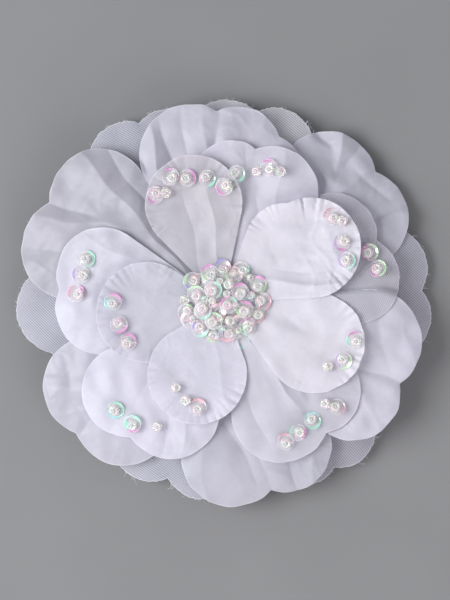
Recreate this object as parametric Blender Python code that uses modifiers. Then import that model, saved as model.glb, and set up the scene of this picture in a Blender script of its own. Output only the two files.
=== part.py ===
"""A white fabric flower hair clip, 118 mm across, lying on its clip with the flower facing up.

Four rings of separately cut petals (sheer, satin, sheer, crimped satin) are stitched to a thread core
on a felt disc. Glass beads in cup sequins cover the centre and edge the upper petals. The felt is glued
to the upper leaf of a sprung alligator clip, whose lower leaf turns on a pin.

Sizes are in millimetres and angles in degrees, turned into metres where Blender takes them.
+Z is the flower's axis, +Y is the top of the flower, and the clip lies along X with its mouth at +X.
"""

import math

import bmesh
import bpy
from mathutils import Matrix, Vector

MM = 0.001

# Stack, from the surface that the clip lies on.
CLEARANCE = 0.3
LEAF_THICKNESS = 0.6
UPPER_LEAF_TOP = 8.6
FELT_RADIUS = 16.0
FELT_THICKNESS = 1.5
PETAL_THICKNESS = 0.4
PETAL_ROOT = 6.0
LEVEL_STEP = 0.7
CORE_RADIUS = 4.6

# Each ring's surface: its height at the petals' roots, then its slope and bend outwards.
RINGS = {
    "under_petal": {"height": 11.1, "slope": 0.024, "bend": -0.0029, "cloth": "sheer"},
    "satin_petal": {"height": 12.4, "slope": 0.113, "bend": -0.0037, "cloth": "satin"},
    "organza_petal": {"height": 13.7, "slope": 0.190, "bend": -0.0043, "cloth": "sheer"},
    "crimped_petal": {"height": 15.3, "slope": 0.130, "bend": -0.0012, "cloth": "satin"},
}

# Each petal: how many steps it lies above its ring's surface, and its lobes, each a round of
# (direction, distance from the flower's axis, radius). A petal runs from its root to its lobes.
PETALS = {
    "under_petal_1": (1, [(55, 43, 11), (71.5, 47.5, 10.7), (89, 46, 12)]),
    "under_petal_2": (0, [(109, 47.5, 10.7), (124, 49.5, 10.8), (139, 43, 11)]),
    "under_petal_3": (1, [(162.5, 47, 12.5), (182.5, 46.5, 12.8), (203, 41, 11)]),
    "under_petal_4": (0, [(226, 42, 11), (243, 45.5, 11), (262.5, 46, 11)]),
    "under_petal_5": (1, [(283, 43, 11), (298, 47.5, 11), (312, 50.5, 10), (327, 43, 11)]),
    "under_petal_6": (0, [(-19, 42, 11), (-5, 48, 12), (11.5, 48, 11.8), (29, 43, 11)]),
    "satin_petal_1": (1, [(74, 37, 13), (84.5, 43.5, 12.5), (102.5, 43, 14.5)]),
    "satin_petal_2": (0, [(140, 46, 14.2), (160.5, 45.5, 14.7)]),
    "satin_petal_3": (1, [(213, 44, 14.4), (228.5, 43, 14.5)]),
    "satin_petal_4": (0, [(273.5, 44, 14.6), (293.5, 45, 13)]),
    "satin_petal_5": (1, [(325, 45, 13.5), (345, 43, 14.8)]),
    "satin_petal_6": (0, [(31.5, 46, 14), (49.5, 46, 14)]),
    "organza_petal_1": (1, [(66, 34, 13.2), (86.5, 35.5, 10.5)]),
    "organza_petal_2": (0, [(166.5, 35.2, 13), (182.5, 34, 13.5)]),
    "organza_petal_3": (1, [(223, 37, 13), (244.5, 34, 13.8)]),
    "organza_petal_4": (1, [(297.5, 35.5, 14), (317, 37, 12)]),
    "organza_petal_5": (0, [(10, 38, 12.8), (30.5, 36.5, 12.5)]),
    "crimped_petal_1": (1, [(106.5, 29, 13.7)]),
    "crimped_petal_2": (0, [(188, 21.7, 14.3)]),
    "crimped_petal_3": (1, [(250.5, 21.7, 14)]),
    "crimped_petal_4": (0, [(336, 28.2, 14.2)]),
    "crimped_petal_5": (1, [(31.7, 29, 14.2), (43, 24, 11.5)]),
}
PETAL_STEPS_PER_LOBE = 6
PETAL_STEPS_OUT = 3

# Where each beaded petal carries its beads, as (x, y) from the flower's axis.
TRIMS = {
    "organza_petal_1": [(3.4, 37.6), (8.6, 37.8), (13.4, 37.6)],
    "organza_petal_2": [(-39.1, 12.1), (-39.7, 7.4), (-40.9, 2.2)],
    "organza_petal_3": [(-31, -30.6), (-25.6, -34.8), (-18.6, -35.3)],
    "organza_petal_4": [(17.5, -39.8), (21.7, -36.9), (25, -33.3), (29.8, -29)],
    "organza_petal_5": [(40.8, 14), (43.2, 9.3)],
    "crimped_petal_1": [(-18.9, 30.8), (-14.6, 34.5), (-10, 35.3), (-5, 35.5), (0.6, 33.1)],
    "crimped_petal_2": [(-31.2, -0.5), (-29.6, -5.7), (-27.2, -11.7)],
    "crimped_petal_3": [(-13.8, -23.6), (-11, -27.4), (-7, -30)],
    "crimped_petal_4": [(37.4, -11), (33.4, -16), (29.2, -18.6)],
    "crimped_petal_5": [(31, 23.6), (33.9, 17.2), (34.5, 11.8)],
}

# A cup sequin with a round bead in it, on a thread.
SEQUIN_RADIUS = 2.25
SEQUIN_DEPTH = 0.9
SEQUIN_WALL = 0.2
BEAD_RADIUS = 1.5
BEAD_HEIGHT = 2.4
THREAD_RADIUS = 0.2

# The beads of the flower's centre stand in rings: (name, how many, ring radius, sequins' lowest point).
CENTRE_RINGS = [
    ("centre_outer", 13, 10.0, 17.3),
    ("centre_inner", 7, 5.3, 18.1),
    ("centre_crown", 1, 0.0, 18.7),
]

# The alligator clip. Its leaves are drawn from the pin outwards.
PIN_X = -9.0
PIN_RADIUS = 0.8
PIN_HEAD_RADIUS = 1.4
PIN_HEAD_LENGTH = 0.4
UPPER_LEAF_WIDTH = 9.0
LOWER_LEAF_WIDTH = 7.4
JAW_LENGTH = 34.0
LEVER_LENGTH = 16.0
JAW_FLAT_LENGTH = 13.0
EAR_THICKNESS = 0.5
EAR_RADIUS = 2.2
TEETH = 4
TOOTH_HEIGHT = 1.0
COIL_RADIUS = 1.55
COIL_TURNS = 4
WIRE_RADIUS = 0.28
SPRING_LEG = 9.0

PIN_Z = UPPER_LEAF_TOP / 2
LEAF_GAP = PIN_Z - LEAF_THICKNESS
FELT_BOTTOM = UPPER_LEAF_TOP + CLEARANCE
CORE_BOTTOM = FELT_BOTTOM + FELT_THICKNESS + CLEARANCE
CORE_TOP = 17.4

MATERIALS = {
    "sheer": ((0.86, 0.87, 0.93), 0.55, 0.0),
    "satin": ((0.88, 0.87, 0.92), 0.42, 0.0),
    "felt": ((0.86, 0.86, 0.86), 0.95, 0.0),
    "thread": ((0.85, 0.85, 0.86), 0.6, 0.0),
    "bead": ((0.90, 0.88, 0.84), 0.08, 0.0),
    "sequin": ((0.84, 0.78, 0.90), 0.12, 0.1),
    "steel": ((0.62, 0.63, 0.65), 0.28, 1.0),
}


def clear_scene():
    for obj in list(bpy.data.objects):
        bpy.data.objects.remove(obj)


def new_collection(name):
    collection = bpy.data.collections.new(name)
    bpy.context.scene.collection.children.link(collection)
    return collection


def make_material(name):
    colour, roughness, metallic = MATERIALS[name]
    material = bpy.data.materials.new(name)
    material.use_nodes = True
    shader = material.node_tree.nodes["Principled BSDF"]
    shader.inputs["Base Color"].default_value = (*colour, 1.0)
    shader.inputs["Roughness"].default_value = roughness
    shader.inputs["Metallic"].default_value = metallic
    return material


def put(name, mesh, material, place=(0, 0, 0), parent=None, helper=False):
    """Links a mesh as a part, or as a helper that only cuts or joins, with its origin at place in mm."""
    obj = bpy.data.objects.new(name, mesh)
    (helpers if helper else parts).objects.link(obj)
    obj.location = Vector(place) * MM
    obj.parent = parent
    if helper:
        obj.hide_render = True
        obj.display_type = "WIRE"
    elif material:
        mesh.materials.append(materials[material])
    return obj


def add_axis(name, place):
    """An empty that marks an axis and carries the pieces on it."""
    axis = bpy.data.objects.new(name, None)
    parts.objects.link(axis)
    axis.location = Vector(place) * MM
    bpy.context.view_layer.update()
    return axis


def mesh_from(name, build):
    """A mesh made by build(bm), which works in mm."""
    bm = bmesh.new()
    build(bm)
    bmesh.ops.scale(bm, vec=(MM, MM, MM), verts=bm.verts)
    mesh = bpy.data.meshes.new(name)
    bm.to_mesh(mesh)
    bm.free()
    return mesh


def boolean(obj, other, operation):
    modifier = obj.modifiers.new(operation.lower(), "BOOLEAN")
    modifier.operation = operation
    modifier.object = other
    return modifier


def solidify(obj, thickness):
    """Gives a sheet its thickness, half of it on each side."""
    modifier = obj.modifiers.new("thickness", "SOLIDIFY")
    modifier.thickness = thickness * MM
    modifier.offset = 0.0


def round_edges(obj, width, segments=1):
    modifier = obj.modifiers.new("rounded", "BEVEL")
    modifier.width = width * MM
    modifier.segments = segments
    modifier.limit_method = "ANGLE"
    modifier.angle_limit = math.radians(50)
    return modifier


def tube(name, points, radius, material, sides=0, closed=False, helper=False, parent=None):
    """A round wire through points, as a welded mesh. sides is the curve's bevel resolution."""
    curve = bpy.data.curves.new(name, "CURVE")
    curve.dimensions = "3D"
    curve.bevel_depth = radius * MM
    curve.bevel_resolution = sides
    curve.use_fill_caps = True
    spline = curve.splines.new("POLY")
    spline.points.add(len(points) - 1)
    for spot, point in zip(spline.points, points):
        spot.co = (*(Vector(point) * MM), 1.0)
    spline.use_cyclic_u = closed
    drawn = bpy.data.objects.new(name + "_path", curve)
    helpers.objects.link(drawn)
    bpy.context.view_layer.update()
    graph = bpy.context.evaluated_depsgraph_get()
    mesh = bpy.data.meshes.new_from_object(drawn.evaluated_get(graph))
    mesh.name = name
    bpy.data.objects.remove(drawn)
    bm = bmesh.new()
    bm.from_mesh(mesh)
    bmesh.ops.remove_doubles(bm, verts=bm.verts, dist=0.01 * MM)
    bm.to_mesh(mesh)
    bm.free()
    mesh.materials.clear()
    return put(name, mesh, material, helper=helper, parent=parent)


# Petals


def ring_of(petal):
    return RINGS[petal.rsplit("_", 1)[0]]


def petal_height(petal, radius):
    """The height of the middle of a petal's cloth, this far from the flower's axis."""
    ring, level = ring_of(petal), PETALS[petal][0]
    out = radius - PETAL_ROOT
    return ring["height"] + level * LEVEL_STEP + ring["slope"] * out + ring["bend"] * out * out


def lobe_span(lobe):
    """The directions between which a lobe is seen from the flower's axis."""
    direction, distance, radius = lobe
    half = math.degrees(math.asin(radius / distance))
    return direction - half, direction + half


def petal_reach(lobes, angle):
    """How far from the flower's axis a petal's edge is, in this direction."""
    reach = 0.0
    for direction, distance, radius in lobes:
        turn = math.radians(angle - direction)
        beside = distance * math.sin(turn)
        if abs(beside) <= radius * 1.0001:
            out = distance * math.cos(turn) + math.sqrt(max(radius**2 - beside**2, 0.0))
            reach = max(reach, out)
    return reach


def add_petal(petal):
    """A sheet from the root to the lobes' edge, laid on its ring's surface."""
    lobes = PETALS[petal][1]
    spans = [lobe_span(lobe) for lobe in lobes]
    first, last = min(s[0] for s in spans), max(s[1] for s in spans)
    across = PETAL_STEPS_PER_LOBE * len(lobes) + 2

    def lay(bm):
        bmesh.ops.create_grid(bm, x_segments=across, y_segments=PETAL_STEPS_OUT, size=1.0)
        for vert in bm.verts:
            # The sine sets the grid's lines closer together at the petal's sides, where its edge turns back.
            angle = (first + last) / 2 + (last - first) / 2 * math.sin(math.pi / 2 * vert.co.x)
            edge = petal_reach(lobes, angle)
            radius = PETAL_ROOT + (edge - PETAL_ROOT) * (vert.co.y + 1) / 2
            turn = math.radians(angle)
            vert.co = (
                radius * math.cos(turn),
                radius * math.sin(turn),
                petal_height(petal, radius),
            )
        bmesh.ops.recalc_face_normals(bm, faces=bm.faces)

    obj = put(petal, mesh_from(petal, lay), ring_of(petal)["cloth"], parent=flower_axis)
    solidify(obj, PETAL_THICKNESS)
    obj.data.shade_smooth()
    return obj


# Beads and sequins


def add_beads(name, places, path, closed=False):
    """Round beads centred at places, on one thread that follows path."""

    def balls(bm):
        for place in places:
            flat = Matrix.Diagonal((1, 1, BEAD_HEIGHT / 2 / BEAD_RADIUS, 1))
            bmesh.ops.create_uvsphere(
                bm, u_segments=8, v_segments=4, radius=BEAD_RADIUS,
                matrix=Matrix.Translation(place) @ flat,
            )

    obj = put(name, mesh_from(name, balls), "bead", parent=flower_axis)
    if path:
        boolean(obj, tube(name + "_thread", path, THREAD_RADIUS, None, closed=closed, helper=True), "UNION")


def add_sequins(name, places, path, closed=False):
    """Cup sequins whose lowest points are at places, on one thread that follows path."""

    def cups(bm):
        for place in places:
            low, high = Matrix.Translation(place), Matrix.Translation(Vector(place) + Vector((0, 0, SEQUIN_WALL)))
            outside = bmesh.ops.create_cone(
                bm, cap_ends=False, segments=8, radius1=0.0, radius2=SEQUIN_RADIUS, depth=SEQUIN_DEPTH,
                matrix=low @ Matrix.Translation((0, 0, SEQUIN_DEPTH / 2)),
            )
            inside = bmesh.ops.create_cone(
                bm, cap_ends=False, segments=8, radius1=0.0, radius2=SEQUIN_RADIUS, depth=SEQUIN_DEPTH,
                matrix=high @ Matrix.Translation((0, 0, SEQUIN_DEPTH / 2)),
            )
            rims = []
            for cone in (outside, inside):
                edges = {e for v in cone["verts"] for e in v.link_edges if len(e.link_faces) == 1}
                rims.extend(edges)
            bmesh.ops.bridge_loops(bm, edges=rims)
        bmesh.ops.remove_doubles(bm, verts=bm.verts, dist=0.01)
        bmesh.ops.recalc_face_normals(bm, faces=bm.faces)

    obj = put(name, mesh_from(name, cups), "sequin", parent=flower_axis)
    if path:
        boolean(obj, tube(name + "_thread", path, THREAD_RADIUS, None, closed=closed, helper=True), "UNION")


def bead_in(sequin):
    """The centre of the bead that sits in a sequin."""
    return Vector(sequin) + Vector((0, 0, SEQUIN_WALL + CLEARANCE + BEAD_HEIGHT / 2))


def thread_in(sequin):
    """The point where the thread passes a sequin."""
    return Vector(sequin) + Vector((0, 0, SEQUIN_WALL / 2))


def add_trim(petal):
    """The beads and sequins sewn along a petal's edge."""
    cups = []
    for x, y in TRIMS[petal]:
        cloth = petal_height(petal, math.hypot(x, y)) + PETAL_THICKNESS / 2
        cups.append(Vector((x, y, cloth + CLEARANCE + THREAD_RADIUS)))
    add_sequins(petal + "_sequins", cups, [thread_in(c) for c in cups])
    add_beads(petal + "_beads", [bead_in(c) for c in cups], [bead_in(c) for c in cups])


def add_centre(name, count, radius, lowest):
    """One ring of the centre's beads and sequins, or the single one at its crown."""
    turns = [2 * math.pi * i / count for i in range(count)]
    cups = [Vector((radius * math.cos(t), radius * math.sin(t), lowest)) for t in turns]
    ring = cups if count > 1 else []
    add_sequins(name + "_sequins", cups, [thread_in(c) for c in ring], closed=True)
    add_beads(name + "_beads", [bead_in(c) for c in cups], [bead_in(c) for c in ring], closed=True)


# Backing and core


def add_felt():
    def disc(bm):
        bmesh.ops.create_cone(
            bm, cap_ends=True, segments=40, radius1=FELT_RADIUS, radius2=FELT_RADIUS, depth=FELT_THICKNESS
        )

    middle = (0, 0, FELT_BOTTOM + FELT_THICKNESS / 2)
    felt = put("felt_backing_disc", mesh_from("felt", disc), "felt", middle, parent=flower_axis)
    round_edges(felt, 0.3)


def add_core():
    """The bundle of stitches that gathers the petals' roots, a little waisted."""
    height = CORE_TOP - CORE_BOTTOM

    def profile(bm):
        outline = [(0, height), (CORE_RADIUS * 0.8, height), (CORE_RADIUS, height * 0.85)]
        outline += [(CORE_RADIUS * 0.9, height * 0.5), (CORE_RADIUS, height * 0.1), (CORE_RADIUS * 0.9, 0), (0, 0)]
        verts = [bm.verts.new((x, 0, z)) for x, z in outline]
        for a, b in zip(verts, verts[1:]):
            bm.edges.new((a, b))

    core = put("stitched_core", mesh_from("core", profile), "thread", (0, 0, CORE_BOTTOM), parent=flower_axis)
    turn = core.modifiers.new("turned", "SCREW")
    turn.steps = turn.render_steps = 20
    turn.use_merge_vertices = True
    turn.merge_threshold = 0.01 * MM
    core.data.shade_smooth()


# The alligator clip


def strip(name, profile, width, material, parent):
    """A leaf of sheet metal, bent along profile, a list of (x, z) of its upper face from the pin."""

    def bend(bm):
        bmesh.ops.create_grid(bm, x_segments=len(profile) - 1, y_segments=1, size=1.0)
        for vert in bm.verts:
            x, z = profile[round((vert.co.x + 1) / 2 * (len(profile) - 1))]
            vert.co = (x, vert.co.y * width / 2, z - LEAF_THICKNESS / 2)

    leaf = put(name, mesh_from(name, bend), material, parent=parent)
    solidify(leaf, LEAF_THICKNESS)
    return leaf


def ear(name, inner, root_height, parent):
    """One round ear beside the pin, joined to its leaf at root_height above or below the pin."""

    def plate(bm):
        bmesh.ops.create_cone(
            bm, cap_ends=True, segments=16, radius1=EAR_RADIUS, radius2=EAR_RADIUS, depth=EAR_THICKNESS,
            matrix=Matrix.Rotation(math.pi / 2, 4, "X"),
        )

    def web(bm):
        size = Matrix.Diagonal((EAR_RADIUS * 2 * 0.98, EAR_THICKNESS * 0.999, abs(root_height), 1))
        bmesh.ops.create_cube(bm, size=1.0, matrix=Matrix.Translation((0, 0, root_height / 2)) @ size)

    middle = inner + math.copysign(EAR_THICKNESS / 2, inner)
    disc = put(name, mesh_from(name, plate), None, (0, middle, 0), parent, helper=True)
    boolean(disc, put(name + "_web", mesh_from(name, web), None, (0, middle, 0), parent, helper=True), "UNION")
    return disc


def pin_hole(name, parent):
    def drill(bm):
        size = PIN_RADIUS + CLEARANCE
        bmesh.ops.create_cone(
            bm, cap_ends=True, segments=16, radius1=size, radius2=size, depth=UPPER_LEAF_WIDTH * 2,
            matrix=Matrix.Rotation(math.pi / 2, 4, "X"),
        )

    return put(name, mesh_from(name, drill), None, parent=parent, helper=True)


def add_ears(leaf, outer_width, root_height, parent):
    for side in (-1, 1):
        inner = side * (outer_width / 2 - EAR_THICKNESS)
        boolean(leaf, ear(f"{leaf.name}_ear_{side}", inner, root_height, parent), "UNION")
    boolean(leaf, pin_hole(leaf.name + "_hole", parent), "DIFFERENCE")


def upper_leaf_profile():
    """Flat all along, so that the felt can be glued to it."""
    top = LEAF_GAP + LEAF_THICKNESS
    return [(-LEVER_LENGTH, top), (0, top), (JAW_LENGTH, top)]


def lower_leaf_profile():
    """A flat lever and heel, which the clip lies on, then a jaw that rises to the upper leaf."""
    top = -LEAF_GAP
    rise = 2 * LEAF_GAP - CLEARANCE - TOOTH_HEIGHT
    points = [(-LEVER_LENGTH, top), (0, top), (JAW_FLAT_LENGTH, top)]
    steps = 6
    for i in range(1, steps + 1):
        share = i / steps
        x = JAW_FLAT_LENGTH + (JAW_LENGTH - JAW_FLAT_LENGTH) * share
        points.append((x, top + rise * share * share * (3 - 2 * share)))
    return points


def add_teeth(leaf):
    """Small pointed teeth across the lower jaw's tip."""
    pitch = LOWER_LEAF_WIDTH / TEETH
    base = LEAF_GAP - CLEARANCE - TOOTH_HEIGHT

    def wedge(bm):
        bmesh.ops.create_cone(
            bm, cap_ends=True, segments=4, radius1=pitch * 0.66, radius2=0.15, depth=TOOTH_HEIGHT + 0.3,
            matrix=Matrix.Rotation(math.pi / 4, 4, "Z"),
        )

    for i in range(TEETH):
        across = (i + 0.5) * pitch - LOWER_LEAF_WIDTH / 2
        place = (JAW_LENGTH - 0.75, across, base + TOOTH_HEIGHT / 2 - 0.15)
        tooth = put(f"tooth_{i}", mesh_from("tooth", wedge), None, place, clip_pivot, helper=True)
        boolean(leaf, tooth, "UNION")


def add_clip():
    upper = strip("clip_upper_leaf", upper_leaf_profile(), UPPER_LEAF_WIDTH, "steel", clip_pivot)
    add_ears(upper, UPPER_LEAF_WIDTH, LEAF_GAP + LEAF_THICKNESS / 2, clip_pivot)
    lower = strip("clip_lower_leaf", lower_leaf_profile(), LOWER_LEAF_WIDTH, "steel", clip_pivot)
    add_ears(lower, LOWER_LEAF_WIDTH, -LEAF_GAP - LEAF_THICKNESS / 2, clip_pivot)
    add_teeth(lower)


def add_pin():
    """The hinge pin, with a flat head at each end, turned about its own axis along Y."""
    shank = UPPER_LEAF_WIDTH / 2 + CLEARANCE
    end = shank + PIN_HEAD_LENGTH

    def profile(bm):
        outline = [(0, end), (PIN_HEAD_RADIUS * 0.8, end), (PIN_HEAD_RADIUS, shank), (PIN_RADIUS, shank)]
        outline += [(r, -z) for r, z in reversed(outline)]
        verts = [bm.verts.new((r, 0, z)) for r, z in outline]
        for a, b in zip(verts, verts[1:]):
            bm.edges.new((a, b))

    pin = put("hinge_pin", mesh_from("pin", profile), "steel", parent=clip_pivot)
    pin.rotation_euler = (math.pi / 2, 0, 0)
    turn = pin.modifiers.new("turned", "SCREW")
    turn.steps = turn.render_steps = 16
    turn.use_merge_vertices = True
    turn.merge_threshold = 0.01 * MM


def add_spring():
    """A torsion spring round the pin, with one leg under the upper leaf and one on the lever."""
    wire = WIRE_RADIUS + CLEARANCE
    pitch = 2 * WIRE_RADIUS + CLEARANCE
    length = COIL_TURNS * pitch
    points = [(-SPRING_LEG, -length / 2, LEAF_GAP - wire), (-COIL_RADIUS, -length / 2, COIL_RADIUS)]
    # The coil starts on top of the pin and ends below it, half a turn past its whole turns.
    per_turn = 12
    for i in range(int((COIL_TURNS + 0.5) * per_turn) + 1):
        turn = math.pi / 2 - 2 * math.pi * i / per_turn
        share = i / ((COIL_TURNS + 0.5) * per_turn)
        points.append((COIL_RADIUS * math.cos(turn), length * (share - 0.5), COIL_RADIUS * math.sin(turn)))
    points.append((-COIL_RADIUS, length / 2, -COIL_RADIUS))
    points.append((-SPRING_LEG, length / 2, wire - LEAF_GAP))
    tube("torsion_spring", points, WIRE_RADIUS, "steel", sides=1, parent=clip_pivot)


clear_scene()
parts = new_collection("flower_hair_clip")
helpers = new_collection("cutters")
materials = {name: make_material(name) for name in MATERIALS}
flower_axis = add_axis("flower_axis", (0, 0, 0))
clip_pivot = add_axis("clip_pivot", (PIN_X, 0, PIN_Z))
for petal_name in PETALS:
    add_petal(petal_name)
for petal_name in TRIMS:
    add_trim(petal_name)
for ring_values in CENTRE_RINGS:
    add_centre(*ring_values)
add_felt()
add_core()
add_clip()
add_pin()
add_spring()
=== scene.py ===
"""The looks of the flower hair clip: cloth petals, glass beads, film sequins, felt, thread and steel.

Lengths in the tables are in millimetres and directions in degrees anticlockwise from +X. Each petal is
laid on the ones below it by means of a height map, so that cloth rests on cloth, and the beads rest on
the cloth.
"""

import math

import bpy
import numpy as np
from mathutils import Euler, Matrix, Vector


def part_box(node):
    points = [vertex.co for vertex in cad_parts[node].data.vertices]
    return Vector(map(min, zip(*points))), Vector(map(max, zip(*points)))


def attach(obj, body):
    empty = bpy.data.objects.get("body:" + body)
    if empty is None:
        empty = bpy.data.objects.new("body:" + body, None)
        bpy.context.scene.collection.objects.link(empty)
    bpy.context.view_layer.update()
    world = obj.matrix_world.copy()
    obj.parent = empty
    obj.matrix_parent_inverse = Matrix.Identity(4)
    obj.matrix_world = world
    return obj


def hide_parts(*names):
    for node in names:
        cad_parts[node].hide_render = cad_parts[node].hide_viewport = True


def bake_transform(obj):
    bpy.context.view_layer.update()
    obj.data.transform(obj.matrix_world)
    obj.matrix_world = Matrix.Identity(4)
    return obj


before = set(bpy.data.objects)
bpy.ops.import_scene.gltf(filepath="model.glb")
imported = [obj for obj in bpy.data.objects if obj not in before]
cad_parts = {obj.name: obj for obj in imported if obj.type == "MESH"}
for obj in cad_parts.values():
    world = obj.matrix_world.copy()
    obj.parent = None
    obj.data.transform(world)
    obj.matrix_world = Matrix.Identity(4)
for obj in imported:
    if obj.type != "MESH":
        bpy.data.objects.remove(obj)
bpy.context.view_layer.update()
MM = 0.001

# Camera: straight above a point beside the flower's axis. VIEW_WIDTH is what it sees across at VIEW_PLANE.
VIEW_WIDTH = 127.8
VIEW_POINT = (0.57, 0.57)
VIEW_PLANE = 12.0
IMAGE_LONG_SIDE = 4 / 3
LENS = 150.0
SENSOR = 36.0

# Each ring's surface: its height at the petals' roots, then its slope and bend outwards.
# dome raises the middle of each lobe, or cups it where negative. ruffle is the free edge's waviness.
# slot is the record's material slot.
RINGS = {
    "under_petal": dict(height=11.1, slope=0.024, bend=-0.0029, dome=0.5, ruffle=0.55, slot="sheer"),
    "satin_petal": dict(height=11.9, slope=0.113, bend=-0.0035, dome=0.9, ruffle=0.7, slot="satin"),
    "organza_petal": dict(height=12.7, slope=0.175, bend=-0.0041, dome=0.6, ruffle=0.5, slot="sheer"),
    "crimped_petal": dict(height=13.4, slope=0.130, bend=-0.0012, dome=-0.8, ruffle=0.3, slot="satin"),
}
PETAL_ROOT = 5.0
LEVEL_STEP = 0.6

# How much more a petal rises outwards than its ring does, as a slope. Negative ones droop.
TILTS = {
    "satin_petal_5": 0.075,
    "satin_petal_6": -0.045,
    "satin_petal_2": 0.02,
    "satin_petal_4": 0.02,
    "organza_petal_4": 0.03,
    "organza_petal_5": -0.02,
}

# Each petal: its level above its ring's surface, its cloth, and its lobes, each a round of
# (direction, distance from the flower's axis, radius). The rings are listed from the bottom up.
PETALS = {
    "under_petal_2": (0, "sheer", [(109, 47.5, 10.7), (124, 49.5, 10.8), (139, 43, 11)]),
    "under_petal_4": (0, "sheer", [(226, 42, 11), (243, 45.5, 11), (262.5, 46, 11)]),
    "under_petal_6": (0, "sheer", [(-19, 42, 11), (-5, 48, 12), (11.5, 48, 11.8), (29, 43, 11)]),
    "under_petal_1": (1, "sheer", [(55, 43, 11), (71.5, 47.5, 10.7), (89, 46, 12)]),
    "under_petal_3": (1, "sheer", [(162.5, 47, 12.5), (182.5, 46.5, 12.8), (203, 41, 11)]),
    "under_petal_5": (1, "sheer", [(283, 43, 11), (298, 47.5, 11), (312, 50.5, 10), (327, 43, 11)]),
    "satin_petal_2": (0, "satin", [(140, 46, 14.2), (160.5, 45.5, 14.7)]),
    "satin_petal_4": (0, "satin", [(273.5, 44, 14.6), (293.5, 45, 13)]),
    "satin_petal_6": (0, "satin", [(31.5, 46, 14), (49.5, 46, 14)]),
    "satin_petal_1": (1, "satin", [(74, 37, 13), (84.5, 43.5, 12.5), (102.5, 43, 14.5)]),
    "satin_petal_3": (1, "satin", [(213, 44, 14.4), (228.5, 43, 14.5)]),
    "satin_petal_5": (1, "satin", [(325, 45, 13.5), (345, 43, 14.8)]),
    "organza_petal_2": (0, "fine", [(166.5, 35.2, 13), (182.5, 34, 13.5)]),
    "organza_petal_5": (0, "ribbed", [(10, 38, 12.8), (30.5, 36.5, 12.5)]),
    "organza_petal_1": (1, "fine", [(66, 34, 13.2), (86.5, 35.5, 10.5)]),
    "organza_petal_3": (1, "fine", [(223, 37, 13), (244.5, 34, 13.8)]),
    "organza_petal_4": (1, "fine", [(297.5, 35.5, 14), (317, 37, 12)]),
    "crimped_petal_2": (0, "fine", [(188, 21.7, 14.3)]),
    "crimped_petal_4": (0, "crisp", [(336, 28.2, 14.2)]),
    "crimped_petal_1": (1, "crisp", [(106.5, 29, 13.7)]),
    "crimped_petal_3": (1, "fine", [(250.5, 21.7, 14)]),
    "crimped_petal_5": (1, "crisp", [(31.7, 29, 14.2), (43, 24, 11.5)]),
}

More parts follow.
